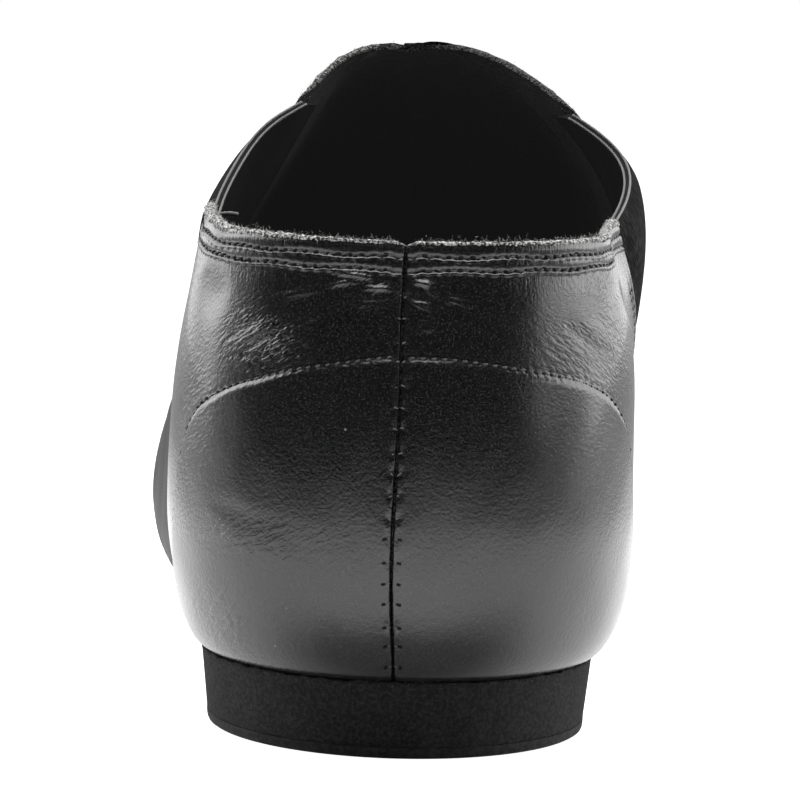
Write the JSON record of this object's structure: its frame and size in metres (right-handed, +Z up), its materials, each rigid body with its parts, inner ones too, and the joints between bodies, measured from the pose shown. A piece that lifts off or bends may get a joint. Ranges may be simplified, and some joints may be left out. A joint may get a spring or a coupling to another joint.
{
  "type": "jazz shoe",
  "caption": "Black leather slip-on jazz shoe for the left foot: elastic side gores, high tongue, split sole and low heel block.",
  "frame": {"origin": "on the floor, under the centre of the shoe's bounding box", "axes": "+Y from heel to toe, +X to the inner (medial) side of the left foot, +Z up"},
  "size_m": [0.0804, 0.2454, 0.0942],
  "materials": {
    "upper_leather": "smooth black leather, semi-gloss, with fine grain and soft creases",
    "gore_elastic": "ribbed black elastic, matt, with two pale lines along its top edge",
    "sock_textile": "dark brushed textile",
    "pad_suede": "dark suede, matt",
    "heel_rubber": "matt black rubber with a fine stippled face",
    "lift_rubber": "matt black rubber"
  },
  "bodies": {
    "root": {"upper": "upper_leather", "gore_lateral": "gore_elastic", "gore_medial": "gore_elastic", "insole": "sock_textile", "outsole_forefoot": "pad_suede", "heel_block": "heel_rubber", "heel_lift": "lift_rubber"}
  },
  "joints": []
}
